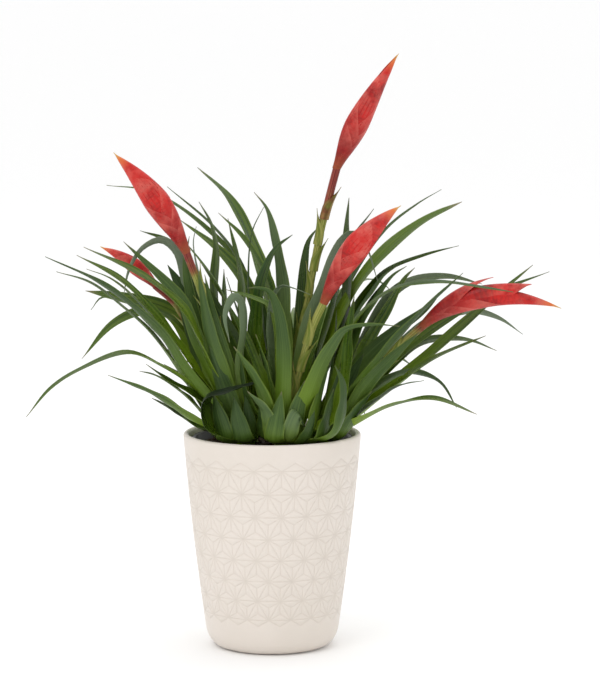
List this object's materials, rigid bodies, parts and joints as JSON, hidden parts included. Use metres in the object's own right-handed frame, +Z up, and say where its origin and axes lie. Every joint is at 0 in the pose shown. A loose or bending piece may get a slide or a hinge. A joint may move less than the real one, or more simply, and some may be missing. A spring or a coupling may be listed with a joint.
{
  "type": "potted flaming sword bromeliad",
  "caption": "Potted flaming sword bromeliad: rosettes of arching strap leaves with red sword-shaped flower heads on thin stems, in a tapered round ceramic cover pot.",
  "frame": {"origin": "centre of the cover pot's flat foot, on the surface it stands on", "axes": "+Z up, -Y towards the front of the plant, +X to the right seen from the front"},
  "size_m": [0.3817, 0.2919, 0.434],
  "materials": {
    "glaze": "satin matte cream glaze with a low relief star lattice",
    "black_plastic": "matte black, thin-walled",
    "soil": "moist fibrous potting peat",
    "leaf": "glossy dark green above, grey-green below, yellow-green at the foot",
    "flower_stem": "satin olive green turning red-brown near the head",
    "bract": "waxy scarlet with orange-yellow tips"
  },
  "bodies": {
    "root": {"cover_pot": "glaze", "grower_pot": "black_plastic", "soil": "soil", "centre_back_leaves": "leaf", "centre_back_flower_stem": "flower_stem", "centre_back_flower_head": "bract", "centre_front_leaves": "leaf", "centre_front_flower_stem": "flower_stem", "centre_front_flower_head": "bract", "left_front_leaves": "leaf", "left_front_flower_stem": "flower_stem", "left_front_flower_head": "bract", "left_back_leaves": "leaf", "left_back_flower_stem": "flower_stem", "left_back_flower_head": "bract", "right_leaves": "leaf", "right_flower_stem": "flower_stem", "right_flower_head": "bract"}
  },
  "joints": []
}
